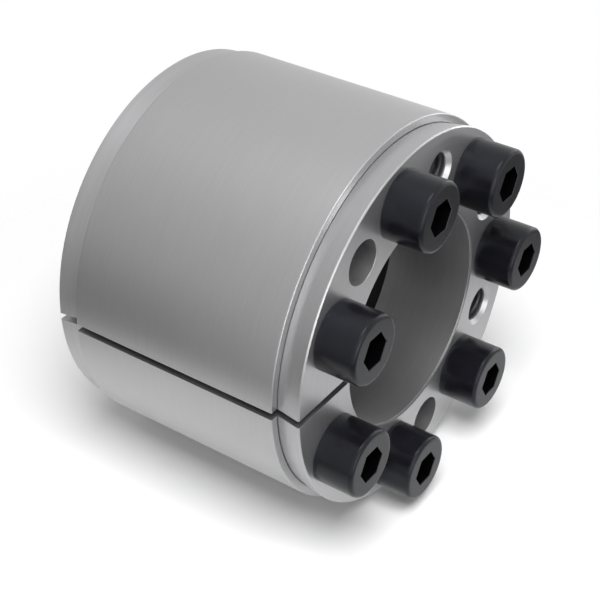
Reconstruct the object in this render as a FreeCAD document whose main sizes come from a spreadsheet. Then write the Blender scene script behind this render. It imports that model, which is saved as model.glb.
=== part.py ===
import FreeCAD, Part
import os
import Sketcher

# A shaft locking assembly stands on the flat end of its rear ring, with the shaft axis along +Z.
# Three slit rings share that axis: a rear and a front taper ring, and an outer ring with a double
# taper inside. Cap screws pass through the front ring into threads in the rear ring. Turned tight,
# they draw the taper rings together, which grips the shaft inside and the hub outside.
# The origin is the centre of the rear end face, and the slit of every ring points along +X.

doc = FreeCAD.newDocument("shaft_locking_assembly")
sizes = doc.addObject("Spreadsheet::Sheet", "sizes")

driving_sizes = [
    ("shaft_dia", 42.0, "bore of both taper rings"),
    ("overall_length", 54.0, "from end face to end face, screw heads left out"),
    ("ring_length", 18.0, "length of each taper ring"),
    ("ring_step", 5.0, "how far each taper ring stands out of the outer ring"),
    ("taper_angle", 9.0, "half angle of the taper, in degrees"),
    ("taper_gap", 0.15, "radial gap between the tapers before the screws are tightened"),
    ("thin_end_wall", 0.741, "wall outside a screw hole at the thin end of a taper ring"),
    ("mouth_wall", 1.5, "wall of the outer ring at its mouth"),
    ("slit_width", 1.5, "width of the slit through each ring"),
    ("ring_chamfer", 0.25, "chamfer on the rim of a taper ring's end face"),
    ("bore_chamfer", 0.3, "chamfer on the bore at a taper ring's end face"),
    ("sleeve_chamfer", 0.4, "chamfer on the outside edges of the outer ring"),
    ("screw_count", 7, "screws round the circle, one place between two of them holds the slit"),
    ("screw_dia", 8.0, "plain shank of a screw"),
    ("hole_gap", 0.2, "radial gap of a shank in its clearance hole"),
    ("relief_gap", 0.45, "radial gap between the shanks and the waist of the outer ring"),
    ("tip_inset", 4.0, "how far a screw tip stays inside the rear end face"),
    ("thread_length", 28.0, "threaded length of a screw"),
    ("thread_dia", 7.19, "pitch diameter of the thread"),
    ("thread_gap", 0.05, "radial running gap of the thread"),
    ("thread_point", 0.7, "chamfer at a screw's tip"),
    ("core_dia", 6.8, "core hole of a tapped hole that stands empty"),
    ("sink_dia", 8.4, "countersink of a tapped hole in a ring's end face"),
    ("head_dia", 13.0, "cap head"),
    ("head_height", 8.0, "height of a cap head"),
    ("head_margin", 1.35, "from the edge of a cap head to the bore"),
    ("head_chamfer", 0.5, "chamfer on top of a cap head"),
    ("socket_flats", 6.0, "hexagon socket across its flats"),
    ("socket_depth", 4.5, "depth of the hexagon socket"),
]
for row, (alias, size, meaning) in enumerate(driving_sizes, start=1):
    sizes.set(f"A{row}", meaning)
    sizes.set(f"B{row}", str(size))
    sizes.setAlias(f"B{row}", alias)
doc.recompute()

# Sizes that several pieces share, worked out from the driving ones
bore_radius = "sizes.shaft_dia / 2"
pitch_radius = f"({bore_radius} + sizes.head_margin + sizes.head_dia / 2)"
hole_dia = "(sizes.screw_dia + 2 * sizes.hole_gap)"
thin_end_radius = f"({pitch_radius} + {hole_dia} / 2 + sizes.thin_end_wall)"
slope = "tan(sizes.taper_angle)"
thick_end_radius = f"({thin_end_radius} + sizes.ring_length * {slope})"
mouth_radius = f"({thick_end_radius} - sizes.ring_step * {slope} + sizes.taper_gap)"
waist_radius = f"({pitch_radius} + sizes.screw_dia / 2 + sizes.relief_gap)"
sleeve_radius = f"({mouth_radius} + sizes.mouth_wall)"
tapped_dia = "(sizes.thread_dia + 2 * sizes.thread_gap)"
screw_length = "(sizes.overall_length - sizes.tip_inset)"
place_angle = "(360 / sizes.screw_count)"

# Places round the circle, counted in steps from the slit: a screw stands midway between two places
jacking_places = (3, 4, 5)
drawing_places = (-1, 1, 2)


def number(expression):
    return float(sizes.evalExpression(str(expression)))


def origin_part(body, role):
    return next(part for part in body.Origin.OriginFeatures if part.Role == role)


def new_sketch(body, name, plane, lift=None):
    sketch = body.newObject("Sketcher::SketchObject", name)
    sketch.AttachmentSupport = (origin_part(body, plane), [""])
    sketch.MapMode = "FlatFace"
    if lift is not None:
        sketch.setExpression("AttachmentOffset.Base.z", lift)
    return sketch


def bind(sketch, constraint, name, expression):
    index = sketch.addConstraint(constraint)
    sketch.renameConstraint(index, name)
    sketch.setExpression(f"Constraints.{name}", expression)


def bind_point(sketch, curve, point, name, x, y):
    start = (-1, 1, curve, point)
    bind(sketch, Sketcher.Constraint("DistanceX", *start, number(x)), f"{name}_x", x)
    bind(sketch, Sketcher.Constraint("DistanceY", *start, number(y)), f"{name}_y", y)


def outline(body, name, plane, corners, lift=None):
    # A closed outline of straight lines, every corner bound to its two expressions
    sketch = new_sketch(body, name, plane, lift)
    spots = [FreeCAD.Vector(number(x), number(y), 0) for x, y in corners]
    for index, spot in enumerate(spots):
        sketch.addGeometry(Part.LineSegment(spot, spots[(index + 1) % len(spots)]))
    for index, (x, y) in enumerate(corners):
        following = (index + 1) % len(corners)
        sketch.addConstraint(Sketcher.Constraint("Coincident", index, 2, following, 1))
        bind_point(sketch, index, 1, f"corner_{index}", x, y)
    return sketch


def turned(body, name, corners):
    # Corners are given as radius and height, and turned once round the axis
    revolution = body.newObject("PartDesign::Revolution", name)
    revolution.Profile = outline(body, f"{name}_outline", "XZ_Plane", corners)
    revolution.ReferenceAxis = (revolution.Profile[0], ["V_Axis"])
    revolution.Angle = 360
    doc.recompute()
    return revolution


def cut_through(body, name, sketch):
    before = body.Shape.Volume
    pocket = body.newObject("PartDesign::Pocket", name)
    pocket.Profile = sketch
    pocket.Type = "ThroughAll"
    pocket.SideType = "Symmetric"
    doc.recompute()
    if pocket.Shape.Volume > before - 1:
        raise ValueError(f"{name} cuts nothing")
    return pocket


def drill(body, name, diameter, angles):
    # Through holes on the screw circle, one at each angle from the slit
    sketch = new_sketch(body, f"{name}_circles", "XY_Plane")
    radius = number(diameter) / 2
    for index, angle in enumerate(angles):
        x = f"{pitch_radius} * cos({angle})"
        y = f"{pitch_radius} * sin({angle})"
        centre = FreeCAD.Vector(number(x), number(y), 0)
        sketch.addGeometry(Part.Circle(centre, FreeCAD.Vector(0, 0, 1), radius))
        bind_point(sketch, index, 3, f"centre_{index}", x, y)
        bind(sketch, Sketcher.Constraint("Diameter", index, 2 * radius), f"hole_{index}", diameter)
    return cut_through(body, name, sketch)


def drill_for_screws(body, name, diameter):
    # The first hole stands half a step from the slit, and a pattern repeats it for every screw
    first = drill(body, f"{name}_first", diameter, [f"{place_angle} / 2"])
    pattern = body.newObject("PartDesign::PolarPattern", name)
    pattern.Originals = [first]
    pattern.Axis = (origin_part(body, "Z_Axis"), [""])
    pattern.Angle = 360
    pattern.setExpression("Occurrences", "sizes.screw_count")
    body.Tip = pattern
    doc.recompute()


def round_edges(body, radius, height, centre_radius="0"):
    # Names of the full circles of one radius and height, centred that far from the axis
    found = []
    for index, edge in enumerate(body.Shape.Edges, start=1):
        if not isinstance(edge.Curve, Part.Circle) or len(edge.Vertexes) != 1:
            continue
        centre = edge.Curve.Center
        misses = (
            edge.Curve.Radius - number(radius),
            centre.z - number(height),
            (centre.x ** 2 + centre.y ** 2) ** 0.5 - number(centre_radius),
        )
        if max(abs(miss) for miss in misses) < 0.001:
            found.append(f"Edge{index}")
    return found


def chamfer(body, name, edges, size):
    if not edges:
        raise ValueError(f"{name} finds no edge")
    base = body.Tip
    feature = body.newObject("PartDesign::Chamfer", name)
    feature.Base = (base, edges)
    feature.setExpression("Size", size)
    doc.recompute()


def cut_slit(body):
    half = "sizes.slit_width / 2"
    far = f"2 * {sleeve_radius}"
    corners = [("0", f"-{half}"), (far, f"-{half}"), (far, half), ("0", half)]
    cut_through(body, "slit", outline(body, "slit_outline", "XY_Plane", corners))


def taper_ring(label, end_face, inward):
    # The thick end is the ring's end face, and the taper narrows towards the middle of the set
    body = doc.addObject("PartDesign::Body", label)
    thin_face = f"{end_face} {inward} sizes.ring_length"
    corners = [
        (bore_radius, end_face),
        (thick_end_radius, end_face),
        (thin_end_radius, thin_face),
        (bore_radius, thin_face),
    ]
    turned(body, "ring", corners)
    chamfer(body, "bore_chamfer", round_edges(body, bore_radius, end_face), "sizes.bore_chamfer")
    chamfer(body, "rim_chamfer", round_edges(body, thick_end_radius, end_face), "sizes.ring_chamfer")
    return body


def countersink(body, name, diameter, end_face):
    edges = round_edges(body, f"{diameter} / 2", end_face, pitch_radius)
    chamfer(body, name, edges, f"(sizes.sink_dia - {diameter}) / 2")


def place_angles(places):
    return [f"{place} * {place_angle}" for place in places]


def rear_ring():
    # The screws' threads run right through, and so do those that take drawing-off screws
    body = taper_ring("rear_taper_ring", "0", "+")
    drill_for_screws(body, "screw_threads", tapped_dia)
    countersink(body, "screw_thread_sinks", tapped_dia, "0")
    drill(body, "drawing_threads", "sizes.core_dia", place_angles(drawing_places))
    countersink(body, "drawing_thread_sinks", "sizes.core_dia", "0")
    cut_slit(body)
    return body


def front_ring():
    # Plain holes reach the drawing-off threads behind, and tapped ones push the rear ring away
    body = taper_ring("front_taper_ring", "sizes.overall_length", "-")
    drill_for_screws(body, "screw_holes", hole_dia)
    drill(body, "drawing_holes", hole_dia, place_angles(drawing_places))
    drill(body, "jacking_threads", "sizes.core_dia", place_angles(jacking_places))
    countersink(body, "jacking_thread_sinks", "sizes.core_dia", "sizes.overall_length")
    cut_slit(body)
    return body


def outer_ring():
    # Plain outside for the hub, two tapers inside, and a waist that clears the screws
    body = doc.addObject("PartDesign::Body", "outer_ring")
    low = "sizes.ring_step"
    high = "(sizes.overall_length - sizes.ring_step)"
    taper_depth = f"({mouth_radius} - {waist_radius}) / {slope}"
    corners = [
        (sleeve_radius, low),
        (sleeve_radius, high),
        (mouth_radius, high),
        (waist_radius, f"{high} - {taper_depth}"),
        (waist_radius, f"{low} + {taper_depth}"),
        (mouth_radius, low),
    ]
    turned(body, "sleeve", corners)
    outside = round_edges(body, sleeve_radius, low) + round_edges(body, sleeve_radius, high)
    chamfer(body, "outside_chamfers", outside, "sizes.sleeve_chamfer")
    cut_slit(body)
    return body


def hexagon_socket(body):
    # Two of the six corners point along X, in line with the slit
    corner_radius = "sizes.socket_flats / 2 / cos(30)"
    corners = [(f"{corner_radius} * cos({60 * turn})", f"{corner_radius} * sin({60 * turn})")
               for turn in range(6)]
    pocket = body.newObject("PartDesign::Pocket", "socket")
    pocket.Profile = outline(body, "socket_outline", "XY_Plane", corners, lift="sizes.head_height")
    pocket.setExpression("Length", "sizes.socket_depth")
    doc.recompute()


def cap_screw(index):
    # The seat under the head is at height 0 of the screw's own frame, and the shank hangs below it
    body = doc.addObject("PartDesign::Body", f"cap_screw_{index + 1}")
    thread_radius = "sizes.thread_dia / 2"
    thread_start = f"sizes.thread_length - {screw_length}"
    corners = [
        ("0", f"-{screw_length}"),
        (f"{thread_radius} - sizes.thread_point", f"-{screw_length}"),
        (thread_radius, f"sizes.thread_point - {screw_length}"),
        (thread_radius, thread_start),
        ("sizes.screw_dia / 2", thread_start),
        ("sizes.screw_dia / 2", "0"),
        ("sizes.head_dia / 2", "0"),
        ("sizes.head_dia / 2", "sizes.head_height"),
        ("0", "sizes.head_height"),
    ]
    turned(body, "blank", corners)
    top_edge = round_edges(body, "sizes.head_dia / 2", "sizes.head_height")
    chamfer(body, "head_chamfer", top_edge, "sizes.head_chamfer")
    hexagon_socket(body)
    angle = f"({index} + 0.5) * {place_angle}"
    body.setExpression("Placement.Base.x", f"{pitch_radius} * cos({angle})")
    body.setExpression("Placement.Base.y", f"{pitch_radius} * sin({angle})")
    body.setExpression("Placement.Base.z", "sizes.overall_length")
    return body


def check_and_export(bodies):
    doc.recompute()
    for item in doc.Objects:
        if "Invalid" in item.State or "Error" in item.State:
            raise ValueError(f"{item.Label} is {item.State}")
    for body in bodies:
        if body.Shape.isNull() or not body.Shape.isValid() or len(body.Shape.Solids) != 1:
            raise ValueError(f"{body.Label} is no valid solid")
    os.makedirs("parts", exist_ok=True)
    for body in bodies:
        body.Shape.exportStep(f"parts/{body.Label}.step")
        box = body.Shape.BoundBox
        print(f"{body.Label}: {body.Shape.Volume:.1f} mm3, {box.XLength:.2f} x {box.YLength:.2f} x "
              f"{box.ZLength:.2f} mm")


rings = [rear_ring(), front_ring(), outer_ring()]
screws = [cap_screw(index) for index in range(int(number("sizes.screw_count")))]
check_and_export(rings + screws)
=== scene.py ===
import math

import bmesh
import bpy
from mathutils import Matrix, Vector


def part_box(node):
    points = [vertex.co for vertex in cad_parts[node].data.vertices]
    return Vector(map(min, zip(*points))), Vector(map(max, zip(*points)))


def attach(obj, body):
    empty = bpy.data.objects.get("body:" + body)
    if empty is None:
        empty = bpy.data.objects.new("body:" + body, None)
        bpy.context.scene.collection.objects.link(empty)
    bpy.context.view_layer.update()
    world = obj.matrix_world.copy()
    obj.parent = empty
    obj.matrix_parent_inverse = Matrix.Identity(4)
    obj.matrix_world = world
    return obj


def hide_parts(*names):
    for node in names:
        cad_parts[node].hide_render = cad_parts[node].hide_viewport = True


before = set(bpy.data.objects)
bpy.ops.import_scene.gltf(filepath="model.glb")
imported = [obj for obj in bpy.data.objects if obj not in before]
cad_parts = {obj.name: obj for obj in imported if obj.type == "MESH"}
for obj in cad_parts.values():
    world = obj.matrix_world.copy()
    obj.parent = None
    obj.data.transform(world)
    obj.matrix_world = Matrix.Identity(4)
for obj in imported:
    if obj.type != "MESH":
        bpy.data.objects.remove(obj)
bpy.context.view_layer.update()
print("frame loaded:", len(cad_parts), "CAD nodes")

mm = 0.001
fullTurn = 2 * math.pi


# Colours are written as sRGB hex and used as linear light
def linearColour(hexText):
    channels = [int(hexText[i:i + 2], 16) / 255 for i in (0, 2, 4)]
    return tuple(c / 12.92 if c <= 0.04045 else ((c + 0.055) / 1.055) ** 2.4
                 for c in channels) + (1.0,)


# One node with its settings. An input is given a value, or linked to a socket or a node's first output
def addNode(tree, kind, settings=None, inputs=None):
    made = tree.nodes.new(kind)
    for name, value in (settings or {}).items():
        setattr(made, name, value)
    for name, value in (inputs or {}).items():
        if isinstance(value, bpy.types.Node):
            value = value.outputs[0]
        if isinstance(value, bpy.types.NodeSocket):
            tree.links.new(value, made.inputs[name])
        else:
            made.inputs[name].default_value = value
    return made


def newMaterial(name):
    material = bpy.data.materials.new(name)
    material.use_nodes = True
    material.node_tree.nodes.clear()
    return material, material.node_tree


# A ramp of greys: each stop is a place from 0 to 1 and a level
def fillRamp(node, stops):
    points = node.color_ramp.elements
    while len(points) > 1:
        points.remove(points[-1])
    points[0].position, points[0].color = stops[0][0], (stops[0][1],) * 3 + (1,)
    for where, value in stops[1:]:
        points.new(where).color = (value,) * 3 + (1,)


def linkedObject(name, data):
    made = bpy.data.objects.new(name, data)
    bpy.context.scene.collection.objects.link(made)
    return made


def meshFrom(name, points, edges, faces):
    mesh = bpy.data.meshes.new(name)
    mesh.from_pydata(points, edges, faces)
    mesh.update()
    return mesh


# The set lies on its side: its up is -Y, and its floor touches the outer ring at +Y
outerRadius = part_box("outer_ring")[1].y
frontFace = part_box("front_taper_ring")[1].z
middleHeight = frontFace / 2

camera = {
    "place": (0.184903, -0.157881, 0.159898),
    "right": (-0.576938, 0.004664, 0.816775),
    "down": (0.481161, 0.809996, 0.335248),
    "lens": 86.25,
    "sensor": 36.0,
    "nearest": 0.01,
}
cameraData = bpy.data.cameras.new("camera")
cameraData.lens = camera["lens"]
cameraData.sensor_width = camera["sensor"]
cameraData.clip_start = camera["nearest"]
cameraObject = linkedObject("camera", cameraData)
rightward, upward = Vector(camera["right"]), -Vector(camera["down"])
turned = Matrix((rightward, upward, rightward.cross(upward))).transposed().to_4x4()
cameraObject.matrix_world = Matrix.Translation(camera["place"]) @ turned
bpy.context.scene.camera = cameraObject
bpy.context.scene.view_settings.view_transform = "Standard"
print("camera placed")

stage = {
    "floorGap": 0.02 * mm,       # keeps the paper off the ring that rests on it
    "floorHalf": 0.6,
    "paper": "F8F8F8",
    "fadeFrom": 0.06, "fadeTo": 0.13,        # where the paper thins out into the white
    "nearWhite": 0.055, "farGrey": 0.130,    # how the paper looks in the metal, by distance
    "nearShade": 0.78, "farShade": 0.18,
    "evenShade": 0.35,           # how far the shade in the metal ignores the shadow on the paper
    "mattSky": 0.38,             # the sky is weaker for matt surfaces, which the lamp lights as well
    "glossSky": 0.84,
    "wallRadius": 0.165, "wallTop": 0.42, "wallSides": 96, "wallLight": 0.77,
    # How dark the wall is by share of its height, and by bearing in degrees
    "wallHeights": [(0.0, 1.0), (0.07, 1.0), (0.145, 0.8), (0.225, 0.62), (0.44, 0.42), (0.7, 0.2),
                    (1.0, 0.0)],
    "wallBearings": [(-180, 0.1), (-140, 0.05), (-100, 0.0), (-20, 0.0), (6, 0.32), (20, 0.62),
                     (36, 0.78), (60, 0.66), (120, 0.42), (145, 0.14), (180, 0.1)],
}
world = bpy.data.worlds.new("studio")
bpy.context.scene.world = world
world.use_nodes = True
world.node_tree.nodes.clear()
worldRays = addNode(world.node_tree, "ShaderNodeLightPath").outputs
mattSky = addNode(world.node_tree, "ShaderNodeMapRange", inputs={
    "Value": worldRays["Is Diffuse Ray"], "To Min": stage["glossSky"], "To Max": stage["mattSky"]})
skyLight = addNode(world.node_tree, "ShaderNodeMapRange", inputs={
    "Value": worldRays["Is Camera Ray"], "To Min": mattSky, "To Max": 1.0})
sky = addNode(world.node_tree, "ShaderNodeBackground", inputs={
    "Color": (1, 1, 1, 1), "Strength": skyLight})
addNode(world.node_tree, "ShaderNodeOutputWorld", inputs={"Surface": sky})


def floorPaper():
    # Matt white paper: it keeps the soft shadow, and thins out into the white far from the set
    material, tree = newMaterial("white_paper")
    place = addNode(tree, "ShaderNodeTexCoord").outputs["Object"]
    flat = addNode(tree, "ShaderNodeVectorMath", {"operation": "MULTIPLY_ADD"},
                   {0: place, 1: (1, 0, 1), 2: (0, 0, -middleHeight)})
    away = addNode(tree, "ShaderNodeVectorMath", {"operation": "LENGTH"}, {0: flat}).outputs["Value"]
    thin = addNode(tree, "ShaderNodeMapRange", {"interpolation_type": "SMOOTHSTEP"}, {
        "Value": away, "From Min": stage["fadeFrom"], "From Max": stage["fadeTo"]})
    shade = addNode(tree, "ShaderNodeMapRange", {"interpolation_type": "SMOOTHSTEP"}, {
        "Value": away, "From Min": stage["nearWhite"], "From Max": stage["farGrey"],
        "To Min": stage["nearShade"], "To Max": stage["farShade"]})
    shadeColour = addNode(tree, "ShaderNodeCombineColor", inputs={0: shade, 1: shade, 2: shade})
    lit = addNode(tree, "ShaderNodeBsdfDiffuse", inputs={"Color": linearColour(stage["paper"])})
    # The metal sees a greyer paper, which keeps only a part of the shadow
    inMetal = addNode(tree, "ShaderNodeLightPath").outputs["Is Glossy Ray"]
    even = addNode(tree, "ShaderNodeEmission", inputs={"Color": shadeColour})
    shadowed = addNode(tree, "ShaderNodeBsdfDiffuse", inputs={"Color": shadeColour})
    mirrored = addNode(tree, "ShaderNodeMixShader", inputs={0: stage["evenShade"], 1: shadowed, 2: even})
    paper = addNode(tree, "ShaderNodeMixShader", inputs={0: inMetal, 1: lit, 2: mirrored})
    behind = addNode(tree, "ShaderNodeNewGeometry").outputs["Backfacing"]
    unseen = addNode(tree, "ShaderNodeMath", {"operation": "SUBTRACT", "use_clamp": True},
                     {0: thin, 1: inMetal})
    clear = addNode(tree, "ShaderNodeMath", {"operation": "MAXIMUM"}, {0: behind, 1: unseen})
    nothing = addNode(tree, "ShaderNodeBsdfTransparent")
    mixed = addNode(tree, "ShaderNodeMixShader", inputs={0: clear, 1: paper, 2: nothing})
    addNode(tree, "ShaderNodeOutputMaterial", inputs={"Surface": mixed})
    return material


def greyWall():
    # A graduated grey wall round the set, seen only in the metal: darkest low down behind its left
    material, tree = newMaterial("graduated_grey")
    place = addNode(tree, "ShaderNodeTexCoord").outputs["Object"]
    parts = addNode(tree, "ShaderNodeSeparateXYZ", inputs={0: place}).outputs
    height = addNode(tree, "ShaderNodeMapRange", inputs={
        "Value": parts["Y"], "From Min": outerRadius, "From Max": outerRadius - stage["wallTop"]})
    fade = addNode(tree, "ShaderNodeValToRGB", inputs={0: height})
    fillRamp(fade, stage["wallHeights"])
    back = addNode(tree, "ShaderNodeMath", {"operation": "SUBTRACT"}, {0: middleHeight, 1: parts["Z"]})
    bearing = addNode(tree, "ShaderNodeMath", {"operation": "ARCTAN2"}, {0: back, 1: parts["X"]})
    share = addNode(tree, "ShaderNodeMapRange", inputs={
        "Value": bearing, "From Min": -math.pi, "From Max": math.pi})
    dark = addNode(tree, "ShaderNodeValToRGB", inputs={0: share})
    fillRamp(dark, [((degrees + 180) / 360, value) for degrees, value in stage["wallBearings"]])
    shade = addNode(tree, "ShaderNodeMath", {"operation": "MULTIPLY"}, {0: fade, 1: dark})
    light = addNode(tree, "ShaderNodeMapRange", inputs={
        "Value": shade, "To Min": stage["wallLight"], "To Max": 0.0})
    glow = addNode(tree, "ShaderNodeEmission", inputs={"Strength": light})
    addNode(tree, "ShaderNodeOutputMaterial", inputs={"Surface": glow})
    return material


floorLevel = outerRadius + stage["floorGap"]
half, sides = stage["floorHalf"], stage["wallSides"]
floor = linkedObject("floor", meshFrom("floor", [
    (-half, floorLevel, middleHeight - half), (half, floorLevel, middleHeight - half),
    (half, floorLevel, middleHeight + half), (-half, floorLevel, middleHeight + half)], [], [(0, 1, 2, 3)]))
floor.data.materials.append(floorPaper())
wallPoints = [(stage["wallRadius"] * math.cos(fullTurn * index / sides), level,
               middleHeight + stage["wallRadius"] * math.sin(fullTurn * index / sides))
              for level in (floorLevel, floorLevel - stage["wallTop"]) for index in range(sides)]
wallFaces = [(i, (i + 1) % sides, sides + (i + 1) % sides, sides + i) for i in range(sides)]
wall = linkedObject("grey_wall", meshFrom("grey_wall", wallPoints, [], wallFaces))
wall.data.materials.append(greyWall())
for ray in ("camera", "diffuse", "transmission", "volume_scatter", "shadow"):
    setattr(wall, f"visible_{ray}", False)

# One lamp lights the matt surfaces and the paper. The others are cards that only the metal mirrors
lamps = {
    "top_softbox": {"place": (0.206, -0.526, 0.218), "aim": (0, 0, 0.03), "size": 0.31, "watts": 3.8,
                    "mirrored": False},
    "top_card": {"place": (0.175, -0.482, 0.263), "aim": (0, 0, 0.03), "size": 0.47, "watts": 2.6,
                 "mirrored": True},
    "front_softbox": {"place": (0.17, -0.09, 0.47), "aim": (0, 0, 0.05), "size": 0.20, "watts": 1.72,
                      "mirrored": True},
    "side_softbox": {"place": (-0.42, -0.09, 0.09), "aim": (0, 0, 0.03), "size": 0.22, "watts": 2.0,
                     "mirrored": True},
}
for lampName, lamp in lamps.items():
    lampData = bpy.data.lights.new(lampName, "AREA")
    lampData.size = lamp["size"]
    lampData.energy = lamp["watts"]
    lampObject = linkedObject(lampName, lampData)
    lampObject.location = lamp["place"]
    toLamp = Vector(lamp["place"]) - Vector(lamp["aim"])
    lampObject.rotation_euler = toLamp.to_track_quat("Z", "Y").to_euler()
    lampObject.visible_camera = False
    lampObject.visible_glossy = lamp["mirrored"]
    lampObject.visible_diffuse = not lamp["mirrored"]
print("stage and light set")


def ringSteel(name, finish):
    # Carbon steel, turned and ground, lightly oiled: satin, with hair-fine marks round the shaft axis, edges
    # broken and drawn lighter (partly rubbed wear, partly a painted highlight), painted shade in a few dark
    # places, and a thin film that spreads part of the light
    material, tree = newMaterial(name)
    place = addNode(tree, "ShaderNodeTexCoord").outputs["Object"]
    parts = addNode(tree, "ShaderNodeSeparateXYZ", inputs={0: place}).outputs
    flat = addNode(tree, "ShaderNodeVectorMath", {"operation": "MULTIPLY"}, {0: place, 1: (1, 1, 0)})
    radius = addNode(tree, "ShaderNodeVectorMath", {"operation": "LENGTH"}, {0: flat}).outputs["Value"]
    outward = addNode(tree, "ShaderNodeVectorMath", {"operation": "NORMALIZE"}, {0: flat})
    along = addNode(tree, "ShaderNodeMath", {"operation": "ADD"}, {0: radius, 1: parts["Z"]})
    # Across the marks the pattern changes within a mark's width, along them a few times a turn
    across = addNode(tree, "ShaderNodeMath", {"operation": "DIVIDE"}, {0: along, 1: finish["markWidth"]})
    slow = addNode(tree, "ShaderNodeVectorMath", {"operation": "SCALE"},
                   {0: outward, "Scale": finish["markTurns"]})
    shift = addNode(tree, "ShaderNodeCombineXYZ", inputs={2: across})
    spot = addNode(tree, "ShaderNodeVectorMath", {"operation": "ADD"}, {0: slow, 1: shift})
    marks = addNode(tree, "ShaderNodeTexNoise", inputs={
        "Vector": spot, "Scale": 1.0, "Detail": finish["markDetail"],
        "Roughness": finish["markRoughness"]}).outputs["Fac"]
    # Faint cloudy patches where the oil film and handling change the gloss
    clouds = addNode(tree, "ShaderNodeTexNoise", inputs={
        "Vector": place, "Scale": 1 / finish["cloudSize"], "Detail": finish["cloudDetail"]}).outputs["Fac"]
    toneFrom, toneTo = finish["toneSpan"]
    tone = addNode(tree, "ShaderNodeMapRange", inputs={
        "Value": marks, "From Min": toneFrom, "From Max": toneTo})
    colour = addNode(tree, "ShaderNodeMix", {"data_type": "RGBA"}, {
        "Factor": tone, "A": linearColour(finish["darkMark"]),
        "B": linearColour(finish["lightMark"])}).outputs[2]
    # Edges are broken and drawn lighter where they turn away from the flat face: partly rubbed wear, partly a
    # painted highlight. The slit is sawn and the bore is ground after that, and their edges stay sharp
    reach = addNode(tree, "ShaderNodeMapRange", inputs={
        "Value": radius, "From Min": finish["oilFrom"], "From Max": finish["oilTo"]})
    beside = addNode(tree, "ShaderNodeMath", {"operation": "ABSOLUTE"}, {0: parts["Y"]})
    broken = addNode(tree, "ShaderNodeMapRange", inputs={
        "Value": beside, "From Min": finish["sawnTo"], "From Max": finish["brokenFrom"],
        "To Min": finish["sawnRadius"], "To Max": finish["edgeRadius"]})
    soft = addNode(tree, "ShaderNodeMath", {"operation": "MULTIPLY"}, {0: broken, 1: reach})
    edge = addNode(tree, "ShaderNodeBevel", {"samples": finish["edgeSamples"]}, {"Radius": soft})
    flatFace = addNode(tree, "ShaderNodeNewGeometry").outputs["True Normal"]
    facing = addNode(tree, "ShaderNodeVectorMath", {"operation": "DOT_PRODUCT"},
                     {0: edge, 1: flatFace}).outputs["Value"]
    rubbedAndLitFrom, rubbedAndLitTo = finish["rubbedAndLitSpan"]
    rubbedAndLit = addNode(tree, "ShaderNodeMapRange", inputs={
        "Value": facing, "From Min": rubbedAndLitFrom, "From Max": rubbedAndLitTo})
    wornAndHighlit = addNode(tree, "ShaderNodeMix", {"data_type": "RGBA"}, {
        "Factor": rubbedAndLit, "A": colour, "B": linearColour(finish["edge"])}).outputs[2]
    both = addNode(tree, "ShaderNodeMath", {"operation": "ADD"}, {0: marks, 1: clouds})
    glossFrom, glossTo = finish["glossSpan"]
    gloss = addNode(tree, "ShaderNodeMapRange", inputs={
        "Value": both, "From Min": glossFrom, "From Max": glossTo,
        "To Min": finish["smoothest"], "To Max": finish["roughest"]})
    # Painted shade: the broken edge of the bore, the hollow between the taper rings and the walls of the slit
    # are drawn darker
    bore = addNode(tree, "ShaderNodeValToRGB", inputs={0: reach})
    fillRamp(bore, finish["boreEdgeShade"])
    low, high = finish["hollow"]
    middle = addNode(tree, "ShaderNodeMath", {"operation": "COMPARE"},
                     {0: parts["Z"], 1: (low + high) / 2, 2: (high - low) / 2})
    inner = addNode(tree, "ShaderNodeMath", {"operation": "LESS_THAN"},
                    {0: radius, 1: finish["hollowRadius"]})
    hollow = addNode(tree, "ShaderNodeMath", {"operation": "MULTIPLY"}, {0: middle, 1: inner})
    # Painted shade: the hollow between the taper rings is drawn nearly black
    hollowShading = addNode(tree, "ShaderNodeMapRange", inputs={
        "Value": hollow, "To Min": 1.0, "To Max": finish["hollowShade"]})
    # Painted shade: the walls of the slit are drawn darker
    ahead = addNode(tree, "ShaderNodeMath", {"operation": "GREATER_THAN"}, {0: parts["X"], 1: 0.0})
    within = addNode(tree, "ShaderNodeMath", {"operation": "LESS_THAN"}, {0: beside, 1: finish["sawnWall"]})
    slit = addNode(tree, "ShaderNodeMath", {"operation": "MULTIPLY"}, {0: ahead, 1: within})
    slitShading = addNode(tree, "ShaderNodeMapRange", inputs={
        "Value": slit, "To Min": hollowShading, "To Max": finish["slitShade"]})
    paintedShade = addNode(tree, "ShaderNodeMath", {"operation": "MULTIPLY"}, {0: bore, 1: slitShading})
    shadedColour = addNode(tree, "ShaderNodeMix", {"data_type": "RGBA", "blend_type": "MULTIPLY"}, {
        "Factor": 1.0, "A": wornAndHighlit, "B": paintedShade}).outputs[2]
    relief = addNode(tree, "ShaderNodeBump", inputs={
        "Strength": 1.0, "Distance": finish["markDepth"], "Height": marks, "Normal": edge})
    steel = addNode(tree, "ShaderNodeBsdfPrincipled", inputs={
        "Base Color": shadedColour, "Metallic": finish["metallic"], "Roughness": gloss, "Normal": relief})
    addNode(tree, "ShaderNodeOutputMaterial", inputs={"Surface": steel})
    return material
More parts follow.
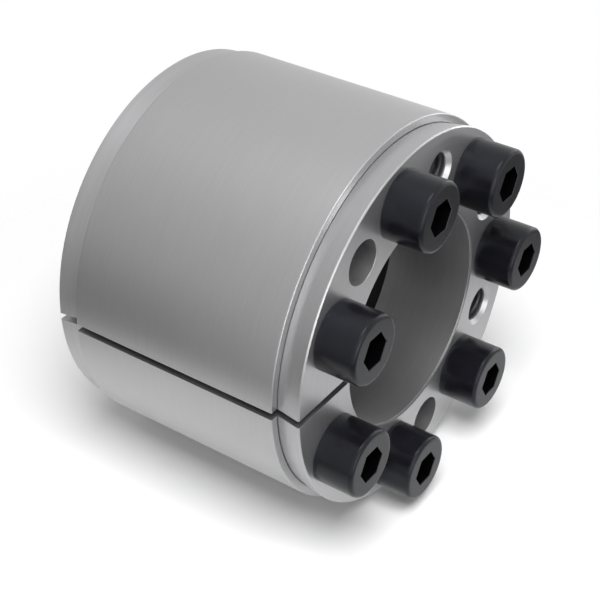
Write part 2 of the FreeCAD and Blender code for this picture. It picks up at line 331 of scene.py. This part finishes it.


# What all the ring finishes share: how the marks spread, where the edges are sharp, where the painted shade
# goes
ringFinish = {
    # edge is the lighter colour of the broken edges: partly rubbed wear, partly a painted highlight
    "metallic": 0.87, "edge": "D6D6D6", "edgeSamples": 6,
    "markDetail": 3.0, "markRoughness": 0.6, "cloudDetail": 2.0,
    "toneSpan": (0.25, 0.75), "rubbedAndLitSpan": (0.995, 0.90), "glossSpan": (0.5, 1.5),
    "sawnWall": 0.76 * mm, "slitShade": 0.8,
    "sawnTo": 1.0 * mm, "brokenFrom": 1.3 * mm, "sawnRadius": 0.05 * mm,
    "oilFrom": 20.9 * mm, "oilTo": 21.9 * mm,
    # boreEdgeShade is painted shade on the bore's broken edge, which keeps it from catching the light
    "boreEdgeShade": [(0.0, 1.0), (0.11, 1.0), (0.14, 0.3), (0.42, 0.3), (0.5, 1.0)],
    "hollow": (17.99 * mm, 36.01 * mm), "hollowRadius": 35.0 * mm, "hollowShade": 0.06,
}
turnedFinish = {
    **ringFinish,
    "lightMark": "C0C0C1", "darkMark": "B8B8BA",
    "markWidth": 0.35 * mm,     # turning feed is about 0.1 mm, drawn coarser so that it shows
    "markTurns": 2.5, "markDepth": 0.0010 * mm, "edgeRadius": 0.14 * mm,
    "smoothest": 0.27, "roughest": 0.36, "cloudSize": 14 * mm,
}
groundFinish = {
    **ringFinish,
    "lightMark": "BFBFC0", "darkMark": "B9B9BA",
    "markWidth": 0.22 * mm,     # grinding grit leaves finer lines, drawn coarser too
    "markTurns": 4.0, "markDepth": 0.0005 * mm, "edgeRadius": 0.12 * mm,
    "smoothest": 0.27, "roughest": 0.34, "cloudSize": 18 * mm,
}
# The thread sleeves in the tapped holes are drawn darker than the ring steel
tappedFinish = {**turnedFinish, "lightMark": "8E8E90", "darkMark": "828284", "edge": "98989A"}
turnedSteel = ringSteel("turned_steel", turnedFinish)
tappedSteel = ringSteel("tapped_steel", tappedFinish)
groundSteel = ringSteel("ground_steel", groundFinish)

# Over half a pitch a thread stays flat up to its root share, and is flat again from its crest share
threadForm = {"root": 0.25, "crest": 0.875}
mergeDistance = 0.001 * mm


# Turns a lathe profile about an axis along Z. The profile is a line of points with x as radius, and
# two weights: hex draws a point out to a hexagon, ridge lifts it to the crest of a thread
def latheTree():
    tree = bpy.data.node_groups.new("lathe", "GeometryNodeTree")
    tree.interface.new_socket("Geometry", in_out="OUTPUT", socket_type="NodeSocketGeometry")
    for name, kind in (("Profile", "Geometry"), ("Steps", "Int"), ("Half Slit", "Float"),
                       ("Centre", "Vector"), ("Pitch", "Float"), ("Ridge", "Float"),
                       ("Closed", "Bool"), ("Material", "Material")):
        tree.interface.new_socket(name, in_out="INPUT", socket_type="NodeSocket" + kind)
    given = addNode(tree, "NodeGroupInput").outputs

    # A grid with a row for each point of the profile, and a column for each step round the axis
    size = addNode(tree, "GeometryNodeAttributeDomainSize", {"component": "MESH"}, {0: given["Profile"]})
    columns = addNode(tree, "ShaderNodeMath", {"operation": "ADD"}, {0: given["Steps"], 1: 1})
    grid = addNode(tree, "GeometryNodeMeshGrid", inputs={
        "Vertices X": size.outputs["Point Count"], "Vertices Y": columns})
    index = addNode(tree, "GeometryNodeInputIndex")
    safeIndex = addNode(tree, "ShaderNodeMath", {"operation": "ADD"}, {0: index, 1: 0.5})
    rowShare = addNode(tree, "ShaderNodeMath", {"operation": "DIVIDE"}, {0: safeIndex, 1: columns})
    row = addNode(tree, "ShaderNodeMath", {"operation": "FLOOR"}, {0: rowShare})
    position = addNode(tree, "GeometryNodeInputPosition")
    sampled = [position]
    for name in ("hex", "ridge"):
        sampled.append(addNode(tree, "GeometryNodeInputNamedAttribute", {"data_type": "FLOAT"},
                               {"Name": name}))
    for slot, kind in enumerate(("FLOAT_VECTOR", "FLOAT", "FLOAT")):
        sampled[slot] = addNode(tree, "GeometryNodeSampleIndex", {"data_type": kind, "domain": "POINT"}, {
            "Geometry": given["Profile"], "Value": sampled[slot], "Index": row})
    spot = addNode(tree, "ShaderNodeSeparateXYZ", inputs={0: sampled[0]}).outputs
    here = addNode(tree, "ShaderNodeSeparateXYZ", inputs={0: position}).outputs
    flank = addNode(tree, "ShaderNodeMapRange", inputs={
        "From Min": threadForm["root"], "From Max": threadForm["crest"]})

    # The sums, one to a line: a result's name, the operation, and what it works on
    known = {
        "index": index, "row": row, "columns": columns, "steps": given["Steps"],
        "halfSlit": given["Half Slit"], "pitch": given["Pitch"], "ridgeHeight": given["Ridge"],
        "radius": spot["X"], "height": spot["Z"], "hexWeight": sampled[1], "ridgeWeight": sampled[2],
        "hereRadius": here["X"], "flank": flank,
    }
    for name, operation, *values in (
            ("rowStart", "MULTIPLY", "row", "columns"),
            ("column", "SUBTRACT", "index", "rowStart"),
            # The slit has parallel walls, so each circle starts where it meets the wall
            ("slitSine", "DIVIDE", "halfSlit", "radius"),
            ("start", "ARCSINE", "slitSine"),
            ("slitSpan", "MULTIPLY", "start", 2.0),
            ("span", "SUBTRACT", fullTurn, "slitSpan"),
            ("share", "DIVIDE", "column", "steps"),
            ("turned", "MULTIPLY", "span", "share"),
            ("angle", "ADD", "start", "turned"),
            # A hexagon with its corners on the X axis: a flat grows by 1 / cos towards the corner
            ("nudged", "ADD", "angle", 1e-6),
            ("sector", "MODULO", "nudged", math.pi / 3),
            ("offFlat", "SUBTRACT", "sector", math.pi / 6),
            ("offCosine", "COSINE", "offFlat"),
            ("growth", "DIVIDE", 1.0, "offCosine"),
            ("stretch", "SUBTRACT", "growth", 1.0),
            ("hexStretch", "MULTIPLY", "stretch", "hexWeight"),
            ("hexFactor", "ADD", 1.0, "hexStretch"),
            ("sixSided", "MULTIPLY", "radius", "hexFactor"),
            # A right-hand thread: its phase goes up with the height and back with the angle
            ("pitches", "DIVIDE", "height", "pitch"),
            ("turns", "DIVIDE", "angle", fullTurn),
            ("helix", "SUBTRACT", "pitches", "turns"),
            ("phase", "FRACT", "helix"),
            ("doublePhase", "MULTIPLY", "phase", 2.0),
            ("centred", "SUBTRACT", "doublePhase", 1.0),
            ("peak", "ABSOLUTE", "centred"),
            ("ridge", "MULTIPLY", "flank", "ridgeWeight"),
            ("lift", "MULTIPLY", "ridge", "ridgeHeight"),
            ("reach", "ADD", "sixSided", "lift"),
            ("cosine", "COSINE", "angle"),
            ("sine", "SINE", "angle"),
            ("x", "MULTIPLY", "reach", "cosine"),
            ("y", "MULTIPLY", "reach", "sine"),
            # How far out the slit's walls meet the circle through each point of the profile
            ("hereSquare", "MULTIPLY", "hereRadius", "hereRadius"),
            ("slitSquare", "MULTIPLY", "halfSlit", "halfSlit"),
            ("wallSquare", "SUBTRACT", "hereSquare", "slitSquare"),
            ("wallReach", "SQRT", "wallSquare"),
            ("nearWall", "MULTIPLY", "halfSlit", 1.0),
            ("farWall", "MULTIPLY", "halfSlit", -1.0)):
        known[name] = addNode(tree, "ShaderNodeMath", {"operation": operation},
                              {slot: known.get(value, value) for slot, value in enumerate(values)})
    tree.links.new(known["peak"].outputs[0], flank.inputs["Value"])

    lathed = addNode(tree, "ShaderNodeCombineXYZ", inputs={0: known["x"], 1: known["y"], 2: spot["Z"]})
    shell = addNode(tree, "GeometryNodeSetPosition", inputs={"Geometry": grid, "Position": lathed})
    # The two walls of the slit are the profile itself, pushed out to where its circles begin
    bothWalls = addNode(tree, "GeometryNodeJoinGeometry")
    for side in ("nearWall", "farWall"):
        wallPlace = addNode(tree, "ShaderNodeCombineXYZ", inputs={
            0: known["wallReach"], 1: known[side], 2: here["Z"]})
        slitWall = addNode(tree, "GeometryNodeSetPosition", inputs={
            "Geometry": given["Profile"], "Position": wallPlace})
        tree.links.new(slitWall.outputs[0], bothWalls.inputs[0])
    shown = addNode(tree, "GeometryNodeSwitch", {"input_type": "GEOMETRY"}, {
        "Switch": given["Closed"], "True": bothWalls})
    joined = addNode(tree, "GeometryNodeJoinGeometry")
    for part in (shell, shown):
        tree.links.new(part.outputs[0], joined.inputs[0])
    merged = addNode(tree, "GeometryNodeMergeByDistance", inputs={
        "Geometry": joined, "Distance": mergeDistance})
    moved = addNode(tree, "GeometryNodeTransform", inputs={
        "Geometry": merged, "Translation": given["Centre"]})
    real = addNode(tree, "GeometryNodeRealizeInstances", inputs={0: moved})
    painted = addNode(tree, "GeometryNodeSetMaterial", inputs={
        "Geometry": real, "Material": given["Material"]})
    addNode(tree, "NodeGroupOutput", inputs={"Geometry": painted})
    return tree


# Runs a tree on a mesh and keeps the result as one plain mesh, faces outwards
def bakedPiece(name, tree, mesh, values, smoothAngle):
    made = linkedObject(name, mesh)
    modifier = made.modifiers.new("nodes", "NODES")
    modifier.node_group = tree
    for socket in tree.interface.items_tree:
        if socket.in_out == "INPUT" and socket.name in values:
            modifier[socket.identifier] = values[socket.name]
    bpy.context.view_layer.update()
    result = bpy.data.meshes.new_from_object(made.evaluated_get(bpy.context.evaluated_depsgraph_get()))
    made.modifiers.remove(modifier)
    made.data = result
    result.name = name
    work = bmesh.new()
    work.from_mesh(result)
    bmesh.ops.recalc_face_normals(work, faces=work.faces)
    for face in work.faces:
        face.smooth = True
    work.to_mesh(result)
    work.free()
    result.set_sharp_from_angle(angle=math.radians(smoothAngle))
    return made


# Rows of (radius, height, hex weight, ridge weight) as a line of points with two weights
def profileMesh(name, rows, closed):
    points = [(row[0], 0.0, row[1]) for row in rows]
    links = [(i, i + 1) for i in range(len(points) - 1)]
    wholeFace = [tuple(range(len(points) - 1))]
    mesh = meshFrom(name, points, [] if closed else links, wholeFace if closed else [])
    for label, slot in (("hex", 2), ("ridge", 3)):
        weights = mesh.attributes.new(label, "FLOAT", "POINT")
        weights.data.foreach_set("value", [row[slot] if len(row) > slot else 0.0 for row in rows])
    return mesh


lathe = latheTree()


# A rounded corner of a profile: points on the arc between two directions, with a point beside each end
# so that the shading of the flats stays flat
def roundedCorner(corner, before, after, radius, steps=4):
    corner, before, after = Vector(corner), Vector(before).normalized(), Vector(after).normalized()
    halfAngle = before.angle(after) / 2
    reach = radius / math.tan(halfAngle)
    centre = corner + (before + after).normalized() * radius / math.sin(halfAngle)
    first, last = corner + before * reach - centre, corner + after * reach - centre
    arc = [centre + first.slerp(last, i / steps).normalized() * radius for i in range(steps + 1)]
    support = radius * 0.4
    return [tuple(p) for p in [arc[0] + before * support] + arc + [arc[-1] + after * support]]


outerRing = {
    "radius": 37.488 * mm, "low": 5 * mm, "high": 49 * mm,
    "mouth": 35.96 * mm, "waist": 33.26 * mm, "taper": 9.0,
    "halfSlit": 0.75 * mm, "edge": 0.22 * mm, "mouthEdge": 0.04 * mm,
    "steps": 360, "smoothAngle": 32,
}


# The ring cut through on one side: plain outside, and two tapers inside that meet a narrow waist
def outerRingRows(spec):
    taperLength = (spec["mouth"] - spec["waist"]) / math.tan(math.radians(spec["taper"]))
    corners = [
        ((spec["radius"], spec["low"]), spec["edge"]), ((spec["radius"], spec["high"]), spec["edge"]),
        ((spec["mouth"], spec["high"]), spec["mouthEdge"]),
        ((spec["waist"], spec["high"] - taperLength), 0.0), ((spec["waist"], spec["low"] + taperLength), 0.0),
        ((spec["mouth"], spec["low"]), spec["mouthEdge"]),
    ]
    rows = []
    for i, (corner, radius) in enumerate(corners):
        before = Vector(corners[i - 1][0]) - Vector(corner)
        after = Vector(corners[(i + 1) % len(corners)][0]) - Vector(corner)
        rows += roundedCorner(corner, before, after, radius) if radius else [corner]
    return rows + [rows[0]]


ringPiece = bakedPiece("outer_ring_finished", lathe,
                       profileMesh("outer_ring_profile", outerRingRows(outerRing), True),
                       {"Steps": outerRing["steps"], "Half Slit": outerRing["halfSlit"], "Closed": True,
                        "Pitch": 1.0, "Material": groundSteel}, outerRing["smoothAngle"])
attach(ringPiece, "outer_ring")
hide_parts("outer_ring")
for nodeName in ("rear_taper_ring", "front_taper_ring"):
    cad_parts[nodeName].material_slots[0].material = turnedSteel
print("rings finished")

capScrew = {
    "count": 7, "pitchRadius": 28.85 * mm, "steps": 72, "smoothAngle": 38,
    "seat": 54 * mm, "headRadius": 6.5 * mm, "headHeight": 8 * mm, "headEdge": 0.75 * mm,
    "footEdge": 0.2 * mm, "flats": 6 * mm, "flatEdge": 0.1 * mm, "socketDepth": 4.5 * mm,
    "drillPoint": 1.3 * mm, "shankRadius": 4.0 * mm, "shankEnd": 32 * mm,
    "rootRadius": 3.56 * mm, "ridge": 0.40 * mm, "pitch": 1.25 * mm, "rowsPerPitch": 10,
    "ridgeFrom": 19.5 * mm, "ridgeTo": 31.6 * mm, "innerRadius": 3.59 * mm,
    "tip": 4 * mm, "point": 0.7 * mm,
}
placeAngle = fullTurn / capScrew["count"]    # the screws stand halfway between the places of the holes


def blackOxide(name, finish):
    # Alloy steel, cold headed and blackened: a thin dark oxide with a little oil, soft low gloss
    material, tree = newMaterial(name)
    place = addNode(tree, "ShaderNodeTexCoord").outputs["Object"]
    grain = addNode(tree, "ShaderNodeTexNoise", inputs={
        "Vector": place, "Scale": 1 / finish["grainSize"], "Detail": finish["grainDetail"],
        "Roughness": finish["grainRoughness"]}).outputs["Fac"]
    patches = addNode(tree, "ShaderNodeTexNoise", inputs={
        "Vector": place, "Scale": 1 / finish["patchSize"], "Detail": finish["patchDetail"]}).outputs["Fac"]
    colour = addNode(tree, "ShaderNodeMix", {"data_type": "RGBA"}, {
        "Factor": patches, "A": linearColour(finish["deep"]), "B": linearColour(finish["pale"])}).outputs[2]
    # Painted shade: the sockets are drawn matt and nearly black for the shade deep inside them; every point
    # is measured from its nearest screw
    parts = addNode(tree, "ShaderNodeSeparateXYZ", inputs={0: place}).outputs
    low, high = finish["socket"]
    known = {"X": parts["X"], "Y": parts["Y"], "Z": parts["Z"]}
    for name, operation, *values in (
            ("bearing", "ARCTAN2", "Y", "X"),
            ("places", "MULTIPLY", "bearing", 1 / placeAngle),
            ("between", "FRACT", "places"),
            ("offScrew", "SUBTRACT", "between", 0.5),
            ("aside", "MULTIPLY", "offScrew", placeAngle),
            ("squareX", "POWER", "X", 2.0),
            ("squareY", "POWER", "Y", 2.0),
            ("square", "ADD", "squareX", "squareY"),
            ("radius", "SQRT", "square"),
            ("cosine", "COSINE", "aside"),
            ("sine", "SINE", "aside"),
            ("forward", "MULTIPLY", "radius", "cosine"),
            ("outward", "SUBTRACT", "forward", capScrew["pitchRadius"]),
            ("sideways", "MULTIPLY", "radius", "sine"),
            ("deep", "COMPARE", "Z", (low + high) / 2, (high - low) / 2)):
        known[name] = addNode(tree, "ShaderNodeMath", {"operation": operation},
                              {slot: known.get(value, value) for slot, value in enumerate(values)})
    offAxis = addNode(tree, "ShaderNodeCombineXYZ", inputs={0: known["outward"], 1: known["sideways"]})
    away = addNode(tree, "ShaderNodeVectorMath", {"operation": "LENGTH"}, {0: offAxis}).outputs["Value"]
    near = addNode(tree, "ShaderNodeMath", {"operation": "LESS_THAN"}, {0: away, 1: finish["socketRadius"]})
    inside = addNode(tree, "ShaderNodeMath", {"operation": "MULTIPLY"}, {0: near, 1: known["deep"]})
    socketShaded = addNode(tree, "ShaderNodeMix", {"data_type": "RGBA"}, {
        "Factor": inside, "A": colour, "B": linearColour(finish["socketShade"])}).outputs[2]
    shine = addNode(tree, "ShaderNodeMapRange", inputs={
        "Value": inside, "To Min": finish["specular"], "To Max": finish["socketShadeSpecular"]})
    both = addNode(tree, "ShaderNodeMath", {"operation": "ADD"}, {0: grain, 1: patches})
    glossFrom, glossTo = finish["glossSpan"]
    gloss = addNode(tree, "ShaderNodeMapRange", inputs={
        "Value": both, "From Min": glossFrom, "From Max": glossTo,
        "To Min": finish["smoothest"], "To Max": finish["roughest"]})
    relief = addNode(tree, "ShaderNodeBump", inputs={
        "Strength": 1.0, "Distance": finish["grainDepth"], "Height": grain})
    oxide = addNode(tree, "ShaderNodeBsdfPrincipled", inputs={
        "Base Color": socketShaded, "Roughness": gloss, "Specular IOR Level": shine,
        "Specular Tint": linearColour(finish["sheen"]), "Normal": relief})
    addNode(tree, "ShaderNodeOutputMaterial", inputs={"Surface": oxide})
    return material


oxideFinish = {
    "deep": "0E0E12", "pale": "18181E", "sheen": "F0F3FC", "specular": 0.365,
    # socketShade and socketShadeSpecular are painted shade inside the hex sockets
    "socketRadius": 3.62 * mm, "socket": (56 * mm, 61.85 * mm), "socketShade": "060607", "socketShadeSpecular": 0.13,
    "grainSize": 0.25 * mm, "grainDepth": 0.003 * mm, "grainDetail": 4.0, "grainRoughness": 0.65,
    "patchSize": 5 * mm, "patchDetail": 2.0,
    "glossSpan": (0.6, 1.4), "smoothest": 0.20, "roughest": 0.29,
}
oxideSteel = blackOxide("black_oxide", oxideFinish)


def holeCentre(place):
    return (capScrew["pitchRadius"] * math.cos(place * placeAngle),
            capScrew["pitchRadius"] * math.sin(place * placeAngle), 0.0)


# From the drill point at the bottom of the socket, over the head and down the thread to the tip
def capScrewRows(spec):
    top = spec["seat"] + spec["headHeight"]
    flat = spec["flats"] / 2
    floorOfSocket = top - spec["socketDepth"]
    hair, support = 0.02 * mm, 0.1 * mm
    rows = [(0.0, floorOfSocket - spec["drillPoint"]), (flat * 0.9, floorOfSocket - hair),
            (flat, floorOfSocket, 1.0), (flat, floorOfSocket + support, 1.0),
            (flat, top - spec["flatEdge"] * 2, 1.0), (flat, top - spec["flatEdge"], 1.0),
            (flat + spec["flatEdge"], top, 1.0), (flat * 1.35, top)]
    rows += roundedCorner((spec["headRadius"], top), (-1, 0), (0, -1), spec["headEdge"], 6)
    rows += roundedCorner((spec["headRadius"], spec["seat"]), (0, 1), (-1, 0), spec["footEdge"], 3)
    rows += [(spec["shankRadius"], spec["seat"]), (spec["shankRadius"], spec["seat"] - support),
             (spec["shankRadius"], spec["shankEnd"] + support), (spec["shankRadius"], spec["shankEnd"]),
             (spec["rootRadius"], spec["ridgeTo"] + support)]
    rowCount = round((spec["ridgeTo"] - spec["ridgeFrom"]) / spec["pitch"] * spec["rowsPerPitch"])
    for i in range(rowCount + 1):
        share = i / rowCount
        fadeIn = min(1.0, 8 * share, 8 * (1 - share))    # the ridge grows over an eighth of the thread
        rows.append((spec["rootRadius"], spec["ridgeTo"] + (spec["ridgeFrom"] - spec["ridgeTo"]) * share,
                     0.0, fadeIn))
    rows += [(spec["innerRadius"], spec["ridgeFrom"] - support),
             (spec["innerRadius"], spec["tip"] + spec["point"]),
             (spec["innerRadius"] - spec["point"], spec["tip"]), (0.0, spec["tip"])]
    return rows


for number in range(1, capScrew["count"] + 1):
    screw = bakedPiece(f"socket_screw_{number}", lathe,
                       profileMesh("cap_screw_profile", capScrewRows(capScrew), False),
                       {"Steps": capScrew["steps"], "Centre": holeCentre(number - 0.5),
                        "Pitch": capScrew["pitch"], "Ridge": capScrew["ridge"], "Closed": False,
                        "Material": oxideSteel}, capScrew["smoothAngle"])
    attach(screw, f"screw_{number}")
    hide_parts(f"cap_screw_{number}")
print("screws made:", capScrew["count"])

# Threads cut in the rings: jacking threads in the front ring, drawing threads in the rear ring, and the
# ends of the screw threads. Each is a thin sleeve in its hole, with a rounded ridge standing inwards.
# A hole is given by its place round the axis, its radius, and the heights of its two ends
ringThreads = {
    "pitch": 1.25 * mm, "ridge": -0.12 * mm, "rowsPerPitch": 8, "steps": 48, "smoothAngle": 60,
    "proud": 0.02 * mm, "buried": 0.2 * mm,
    "jacking": [(place, 3.4 * mm, 36.3 * mm, 53.0 * mm) for place in (3, 4, 5)],
    "rear": [(place, 3.4 * mm, 1.0 * mm, 17.7 * mm) for place in (1, 2, 6)] +
            [(place + 0.5, 3.645 * mm, 1.0 * mm, 2.6 * mm) for place in range(capScrew["count"])],
}


def threadRows(spec, radius, low, high):
    inside, outside = radius - spec["proud"], radius + spec["buried"]
    rowCount = round((high - low) / spec["pitch"] * spec["rowsPerPitch"])
    rows = [(outside, low)]
    for i in range(rowCount + 1):
        share = i / rowCount
        fadeIn = min(1.0, rowCount * share / 4, rowCount * (1 - share) / 4)    # over four rows
        rows.append((inside, low + (high - low) * share, 0.0, fadeIn))
    return rows + [(outside, high), (outside, low)]


def threadedPiece(name, spec, holes):
    work = bmesh.new()
    for place, radius, low, high in holes:
        sleeve = bakedPiece("thread", lathe,
                            profileMesh("thread_profile", threadRows(spec, radius, low, high), False),
                            {"Steps": spec["steps"], "Centre": holeCentre(place), "Pitch": spec["pitch"],
                             "Ridge": spec["ridge"], "Closed": False, "Material": tappedSteel},
                            spec["smoothAngle"])
        work.from_mesh(sleeve.data)
        bpy.data.objects.remove(sleeve)
    mesh = bpy.data.meshes.new(name)
    work.to_mesh(mesh)
    work.free()
    mesh.materials.append(tappedSteel)
    return linkedObject(name, mesh)


for threadName, holeSet, body in (("jacking_threads", "jacking", "front_ring"),
                                  ("rear_threads", "rear", "rear_ring")):
    threadObject = threadedPiece(threadName, ringThreads, ringThreads[holeSet])
    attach(threadObject, body)
print("threads cut:", len(ringThreads["jacking"]) + len(ringThreads["rear"]))
